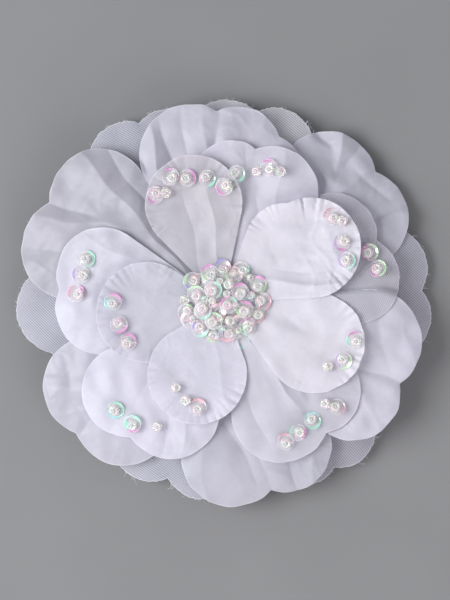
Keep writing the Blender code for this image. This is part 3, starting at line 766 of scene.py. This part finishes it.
def glass_material():
    """Milky clear glass with a thin coating, faintly pink, yellow and green from place to place, and a
    faint painted glow.
    """
    nodes = Nodes("bead_glass")
    pink, white, yellow, green = (1.0, 0.76, 0.88), (1.0, 0.96, 0.97), (1.0, 0.97, 0.86), (0.78, 1.0, 0.93)
    patches = nodes.noise(2.1, detail=1)
    return nodes.finish(nodes.principled({
        "Base Color": nodes.ramp(patches, (0.34, pink), (0.44, white), (0.56, yellow), (0.66, green)),
        "Roughness": 0.08, "IOR": 1.33, "Transmission Weight": 0.72,
        "Coat Weight": 0.7, "Coat Roughness": 0.03, "Coat IOR": 1.6,
        # A faint emission: a painted glow standing in for light carried through the glass between the
        # beads.
        "Emission Color": (1.0, 0.94, 0.95, 1), "Emission Strength": 0.08,
    }))


def film_material():
    """Clear film whose glints are painted on each sequin as a colour, with their strength as alpha."""
    nodes = Nodes("sequin_film")
    glint = nodes.add("ShaderNodeAttribute", attribute_name="glint")
    body = nodes.principled({
        "Base Color": glint.outputs["Color"], "Normal": nodes.bump(nodes.noise(0.7, detail=2), 0.03),
        "Metallic": 0.1, "Roughness": 0.2, "Coat Weight": 1.0, "Coat Roughness": 0.05, "Coat IOR": 1.8,
    })
    cover = nodes.math("ADD", nodes.math("MULTIPLY", glint.outputs["Alpha"], 0.65), 0.16, clamp=True)
    return nodes.finish(nodes.over_clear(cover, body))


def thread_material():
    """White thread with its twist."""
    nodes = Nodes("white_thread")
    twist = nodes.ribs(0.28, 35, distortion=1.0)
    return nodes.finish(nodes.principled({
        "Base Color": nodes.ramp(twist, (0.0, (0.62, 0.61, 0.64)), (0.6, (0.86, 0.85, 0.88))),
        "Roughness": 0.6, "Sheen Weight": 0.4, "Normal": nodes.bump(twist, 0.08),
    }))


def felt_material():
    """White felt with a fluffy surface."""
    nodes = Nodes("white_felt")
    fluff = nodes.noise(0.8, detail=6, roughness=0.7)
    return nodes.finish(nodes.principled({
        "Base Color": nodes.ramp(fluff, (0.3, (0.66, 0.66, 0.67)), (0.7, (0.84, 0.84, 0.85))),
        "Roughness": 0.95, "Sheen Weight": 0.5, "Normal": nodes.bump(fluff, 0.25),
    }))


def steel_material():
    """Nickel-plated sheet: fine rolling lines along X, with duller, darker patches where it is worn."""
    nodes = Nodes("nickel_steel")
    stretched = nodes.place(scale=(0.06, 1.0, 1.0))
    lines = nodes.add("ShaderNodeTexNoise", {"Vector": stretched, "Scale": 6000.0, "Detail": 2.0})
    worn = nodes.noise(5, detail=5, roughness=0.65)
    return nodes.finish(nodes.principled({
        "Base Color": nodes.ramp(worn, (0.35, (0.50, 0.50, 0.51)), (0.65, (0.66, 0.66, 0.67))),
        "Metallic": 1.0, "Roughness": nodes.math("ADD", nodes.math("MULTIPLY", worn, 0.22), 0.14),
        "Normal": nodes.bump(lines.outputs["Fac"], 0.01),
    }))


# Beads and sequins


def turned(profile, steps, closed):
    """Points and faces of a profile of (radius, height) turned about Z. closed joins its ends."""
    points, faces, count = [], [], len(profile)
    for i in range(steps):
        turn = 2 * math.pi * i / steps
        points += [Vector((r * math.cos(turn), r * math.sin(turn), h)) for r, h in profile]
    for i in range(steps):
        for j in range(count if closed else count - 1):
            a, b = i * count + j, i * count + (j + 1) % count
            c, d = (i + 1) % steps * count + (j + 1) % count, (i + 1) % steps * count + j
            faces.append((a, d, c, b))
    return points, faces


def bead_shape():
    """A round seed bead with a hole through it."""
    middle, thick = (BEAD_RADIUS + BEAD_HOLE) / 2, (BEAD_RADIUS - BEAD_HOLE) / 2
    profile = []
    for k in range(16):
        at = 2 * math.pi * k / 16
        c, s = math.cos(at), math.sin(at)
        out = math.copysign(abs(c) ** 0.85, c)
        up = math.copysign(abs(s) ** 0.85, s)
        profile.append((middle + thick * out, BEAD_HALF_HEIGHT * up))
    return turned(profile, 28, closed=True)


def sequin_shape():
    """A cup sequin: a shallow bowl of thin film with a hole in the middle."""
    inner, thick, depth = 0.45, 0.05, 0.75
    radii = [inner + (SEQUIN_RADIUS - inner) * k / 12 for k in range(13)]
    bowl = [(r, depth * (r / SEQUIN_RADIUS) ** 2.2) for r in radii]
    profile = bowl + [(r, h + thick) for r, h in reversed(bowl)]
    return turned(profile, 48, closed=True)


class Pile:
    """One mesh gathered from many placed copies of small shapes."""

    def __init__(self):
        self.points, self.faces, self.colours, self.slots = [], [], [], []

    def add(self, shape, matrix=Matrix.Identity(4), colour=None, slot=0):
        points, faces = shape
        start = len(self.points)
        self.points += [matrix @ p for p in points]
        self.faces += [tuple(start + k for k in face) for face in faces]
        self.colours += colour or [(1, 1, 1, 1)] * len(points)
        self.slots += [slot] * len(faces)

    def finish(self, name, node, materials, body="flower"):
        piece = new_piece(name, [tuple(p * MM) for p in self.points], self.faces, materials)
        glint = piece.data.color_attributes.new("glint", "FLOAT_COLOR", "POINT")
        glint.data.foreach_set("color", np.array(self.colours).ravel())
        piece.data.polygons.foreach_set("material_index", self.slots)
        if body:
            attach(piece, body)
        if node:
            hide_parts(node)
        return piece


def painted_sequin(shape, glints, turn):
    """A colour and strength for each point: pearly all over, a crescent for each glint, a painted highlight
    at the rim.
    """
    colours = []
    for point in shape[0]:
        out = math.hypot(point.x, point.y) / SEQUIN_RADIUS
        at = math.degrees(math.atan2(point.y, point.x)) + turn
        colour, strength = Vector(PEARL), 0.12
        for tint, direction, half in glints:
            apart = abs((at - direction + 180) % 360 - 180) / (1.35 * half)
            inner_edge = 0.62 + 0.24 * apart**2
            share = max(0.0, 1 - apart**4) * min(1.0, max(0.0, (out - inner_edge) / 0.1))
            colour = colour.lerp(Vector(tint), share)
            strength = max(strength, share)
        # The rim is made more opaque and pearly: a painted highlight along the sequin's edge.
        rim = max(0.0, (out - 0.93) / 0.07)
        colours.append((*colour, min(1.0, strength + 0.5 * rim)))
    return colours


def lying_on(heap, top, gap):
    """How high something is, at any point, that lies a gap above a softened height map."""
    return lambda x, y: float(heap.read(top, np.array(x), np.array(y))) + gap


def small_lean(random, most):
    return Euler((random.uniform(-most, most), random.uniform(-most, most), 0))


def place_trim(name, items, rest_height, random, pull=0.0):
    """Lays each bead and sequin of one trim: sequins face up with a small tilt, beads sit in them.

    pull makes them lean outwards instead, more so the farther from the axis they are.
    """
    beads, sequins = Pile(), Pile()
    stitch = turned([(0.0, -0.95), (0.41, -0.95), (0.41, 0.86), (0.0, 0.95)], 12, closed=False)
    for item in items:
        x, y, *lift, kind, glints = item
        floor = rest_height(x, y) + (lift[0] if lift else 0.0)
        lean = small_lean(random, SEQUIN_LEAN)
        if pull:
            away = math.hypot(x, y)
            lean = Euler((-pull * y * away / 600, pull * x * away / 600, 0))
        turn = random.uniform(0, 2 * math.pi)
        if kind in ("both", "sequin"):
            spin = Matrix.Rotation(turn, 4, "Z")
            # The bead hides less of the side that has the first glint.
            shift = Vector((0, 0, 0))
            if glints:
                main = math.radians(glints[0][1])
                shift = SEQUIN_SHIFT * Vector((math.cos(main), math.sin(main), 0))
            matrix = Matrix.Translation(Vector((x, y, floor)) + shift) @ lean.to_matrix().to_4x4() @ spin
            sequins.add(SEQUIN, matrix, painted_sequin(SEQUIN, glints, math.degrees(turn)))
        if kind != "sequin":
            size = random.uniform(0.92, 1.04) * (SMALL_BEAD if kind == "small" else 1.0)
            tip = lean if kind == "both" else small_lean(random, BARE_LEAN)
            rise = BEAD_HALF_HEIGHT * size + (SEQUIN_FLOOR if kind == "both" else 0.0)
            spot = Matrix.Translation((x, y, floor + rise))
            matrix = spot @ tip.to_matrix().to_4x4() @ Matrix.Scale(size, 4)
            beads.add(BEAD, matrix)
            beads.add(stitch, matrix, slot=1)
    glass = beads.finish(name + "_glass", name + "_beads", [GLASS, THREAD])
    if sequins.points:
        film = sequins.finish(name + "_film", name + "_sequins", [FILM])


# The stitched centre


PAD_RADIUS = 8.4
PAD_STITCHES = 40


def pad_rise(radius):
    """How far the pad stands above the petals' roots."""
    return 0.3 + 1.7 * np.clip(1 - (radius / PAD_RADIUS) ** 2, 0, 1)


def make_core(heap):
    """The bundle of stitches under the petals' roots, and the padded round that carries the beads."""
    random = np.random.default_rng(11)
    pile = Pile()
    low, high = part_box("stitched_core")
    base, top = low[2] / MM, high[2] / MM
    # A bundle with a waist, up to just under the roots.
    top -= 2.5
    waist = [(3.9 + 0.5 * abs(2 * k / 8 - 1) ** 2, base + (top - base) * k / 8) for k in range(9)]
    pile.add(turned([(0.0, base), *waist, (0.0, top)], 48, closed=False))

    # Rows of stitches over the petals' roots, each a short bow of thread.
    heap.fill_middle(PETAL_ROOT + 0.8)
    bed = heap.spread(3, 3)
    for index in range(PAD_STITCHES):
        at = 2 * math.pi * index / PAD_STITCHES + random.uniform(-0.05, 0.05)
        start, end = random.uniform(0.5, 3.0), random.uniform(7.5, 10.0)
        run = np.linspace(start, end, 9)
        bend = random.uniform(-0.15, 0.15)
        x = run * np.cos(at + bend * (run - start) / 8)
        y = run * np.sin(at + bend * (run - start) / 8)
        z = heap.read(bed, x, y) + pad_rise(run) + 0.12 + 0.1 * random.uniform()
        z[-1] -= 0.35
        pile.add(bow(x, y, z, THREAD_RADIUS))
    core = pile.finish("stitches", "stitched_core", [THREAD])

    # The pad is a round of cloth, domed over the roots.
    rings, steps = 22, 72
    radius, turn = round_grid(0.05, PAD_RADIUS, rings, steps)
    rim = 1 + 0.05 * np.sin(5 * turn + 1) * (radius / PAD_RADIUS) ** 2
    x, y = radius * rim * np.cos(turn), radius * rim * np.sin(turn)
    z = heap.read(bed, x, y) + pad_rise(np.hypot(x, y)) + 0.1 * waves(x, y, 5, 3.5)
    heap.add(x, y, z + 0.1)
    faces = grid_faces(rings, steps, closed=True)
    pad = new_piece("centre_pad", in_metres(x, y, z), faces, [cloth_material("centre_pad", "satin")])
    thicken(pad, CLOTH_THICKNESS)
    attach(pad, "flower")


def bow(x, y, z, radius, flat_axis=(0, 0, 1), sides=6):
    """A thin round thread or wire through points, as points and faces with closed ends.

    flat_axis is a direction that the thread never runs along.
    """
    points, faces = [], []
    path = [Vector((float(a), float(b), float(c))) for a, b, c in zip(x, y, z)]
    for k, spot in enumerate(path):
        along = (path[min(k + 1, len(path) - 1)] - path[max(k - 1, 0)]).normalized()
        across = along.cross(Vector(flat_axis)).normalized()
        up = across.cross(along)
        for side in range(sides):
            turn = 2 * math.pi * side / sides
            points.append(spot + radius * (math.cos(turn) * across + math.sin(turn) * up))
    for k in range(len(path) - 1):
        for side in range(sides):
            a, b = k * sides + side, k * sides + (side + 1) % sides
            faces.append((a, b, b + sides, a + sides))
    faces.append(tuple(range(sides))[::-1])
    faces.append(tuple(len(points) - sides + side for side in range(sides)))
    return points, faces


# The rest of the scene


FELT_STITCHES = 30


def make_felt():
    """The cut round of felt: a slightly uneven edge and faces, oversewn round its rim."""
    low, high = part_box("felt_backing_disc")
    thickness = (high[2] - low[2]) / MM
    radius = (high[0] - low[0]) / 2 / MM
    middle = (high[2] + low[2]) / 2 / MM
    rings, steps = 36, 120
    out, turn = round_grid(0.05, 1, rings, steps)
    edge = radius + 0.12 * waves(radius * np.cos(turn), radius * np.sin(turn), 21, 2.5)
    x, y = out * edge * np.cos(turn), out * edge * np.sin(turn)
    z = middle + 0.03 * waves(x, y, 22, 3.0) + 0.02 * waves(x, y, 23, 1.1)
    faces = grid_faces(rings, steps, closed=True)
    felt = new_piece("felt_round", in_metres(x, y, z), faces, [felt_material()])
    thicken(felt, thickness - 0.1)
    rounded = felt.modifiers.new("rounded", "BEVEL")
    rounded.width = 0.35 * MM
    rounded.segments = 3
    rounded.limit_method = "ANGLE"
    rounded.angle_limit = math.radians(50)
    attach(felt, "flower")
    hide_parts("felt_backing_disc")
    pile = Pile()
    random = np.random.default_rng(24)
    for index in range(FELT_STITCHES):
        at = 2 * math.pi * (index + random.uniform(-0.12, 0.12)) / FELT_STITCHES
        half = thickness / 2
        r = np.array([1.9, 1.2, 0.1, -0.25, -0.25, 0.1, 1.2, 1.9])
        rise = np.array([-half, -half - 0.06, -half, -half * 0.4, half * 0.4, half, half + 0.06, half])
        along = at + 0.05 * np.linspace(-1, 1, len(r))
        pile.add(bow((radius - r) * np.cos(along), (radius - r) * np.sin(along), middle + rise, 0.1))
    stitches = pile.finish("felt_stitches", None, [THREAD])


# The clip's pin, and the spring round it.
PIN = (-9.0, 0.0, 4.3)
COIL_RADIUS = 1.55
WIRE_RADIUS = 0.28
COIL_LENGTH = 3.44
COIL_TURNS = 4.5
LEG_END = -9.0
LEG_HEIGHT = 3.12


def make_spring(steel):
    """The torsion spring: a coil round the pin, with a leg running out from each end."""
    path, near = [], -COIL_RADIUS * 0.6
    for share in np.linspace(0, 1, 7)[:-1]:
        x = LEG_END + share * (-LEG_END + near)
        path.append((x, -COIL_LENGTH / 2, LEG_HEIGHT + share * (COIL_RADIUS - LEG_HEIGHT)))
    for share in np.linspace(0, 1, 120):
        turn = math.pi / 2 - 2 * math.pi * COIL_TURNS * share
        x, z = COIL_RADIUS * math.cos(turn), COIL_RADIUS * math.sin(turn)
        path.append((x, COIL_LENGTH * (share - 0.5), z))
    for share in np.linspace(0, 1, 7)[1:]:
        x = near + share * (LEG_END - near)
        path.append((x, COIL_LENGTH / 2, -COIL_RADIUS - share * (LEG_HEIGHT - COIL_RADIUS)))
    x, y, z = (np.array(path) + np.array(PIN)).T
    pile = Pile()
    pile.add(bow(x, y, z, WIRE_RADIUS, flat_axis=(0, 1, 0), sides=10))
    spring = pile.finish("spring", "torsion_spring", [steel], body=None)
    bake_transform(spring)


def paint_node(node, material):
    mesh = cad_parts[node].data
    mesh.materials.clear()
    mesh.materials.append(material)


# The floor reaches this far in metres, and lies this far in mm below the clip's lower leaf.
FLOOR_HALF_WIDTH = 1.5
FLOOR_DROP = 0.05


def make_floor():
    nodes = Nodes("pale_floor")
    grain = nodes.noise(40, detail=2)
    colour = nodes.ramp(grain, (0.35, (0.236, 0.238, 0.240)), (0.65, (0.247, 0.249, 0.251)))
    material = nodes.finish(nodes.principled({"Base Color": colour, "Roughness": 0.8}))
    half, low = FLOOR_HALF_WIDTH, -FLOOR_DROP * MM
    corners = [(-half, -half, low), (half, -half, low), (half, half, low), (-half, half, low)]
    floor = new_piece("floor", corners, [(0, 1, 2, 3)], [material])


def make_camera():
    data = bpy.data.cameras.new("camera")
    data.lens = LENS
    data.sensor_width = SENSOR
    # The sensor's width lies along the image's long side.
    distance = VIEW_WIDTH * IMAGE_LONG_SIDE * LENS / SENSOR
    camera = bpy.data.objects.new("camera", data)
    camera.location = Vector((*VIEW_POINT, VIEW_PLANE + distance)) * MM
    data.clip_start = 0.01
    data.clip_end = 5
    bpy.context.collection.objects.link(camera)
    bpy.context.scene.camera = camera


def make_light(name, place, size, power, colour):
    """A round lamp that faces the flower, with its place and size in metres."""
    data = bpy.data.lights.new(name, "AREA")
    data.shape, data.size, data.energy, data.color = "DISK", size, power, colour
    light = bpy.data.objects.new(name, data)
    light.location = place
    light.rotation_euler = (-Vector(place)).to_track_quat("-Z", "Y").to_euler()
    bpy.context.collection.objects.link(light)


def make_world():
    world = bpy.data.worlds.new("studio")
    world.use_nodes = True
    colour, strength = world.node_tree.nodes["Background"].inputs[:2]
    colour.default_value = (0.93, 0.94, 1.0, 1)
    strength.default_value = 0.46
    bpy.context.scene.world = world
    bpy.context.scene.view_settings.view_transform = "Standard"


make_camera()
GLASS, FILM, THREAD = glass_material(), film_material(), thread_material()
BEAD, SEQUIN = bead_shape(), sequin_shape()

petal_heap = Heap()
for petal_name in PETALS:
    make_petal(petal_name, petal_heap)
make_frays(UNDER_EDGES)

luck = np.random.default_rng(7)
petal_top = petal_heap.spread(1, 1)
for petal_name, trim in TRIMS.items():
    place_trim(petal_name, trim, lying_on(petal_heap, petal_top, 0.15), luck)
make_core(petal_heap)
centre_top = petal_heap.spread(1, 2)
for group, cluster in CENTRE.items():
    place_trim(group, cluster, lying_on(petal_heap, centre_top, 0.1), luck, pull=1.6)

make_felt()
STEEL = steel_material()
for steel_node in ("clip_upper_leaf", "clip_lower_leaf", "hinge_pin"):
    paint_node(steel_node, STEEL)
make_spring(STEEL)

make_floor()
make_world()
make_light("key", place=(-0.65, -0.02, 0.72), size=0.70, power=8.5, colour=(0.975, 0.982, 1.0))
make_light("fill", place=(0.40, -0.66, 0.5), size=0.7, power=2.4, colour=(1.0, 0.95, 0.955))
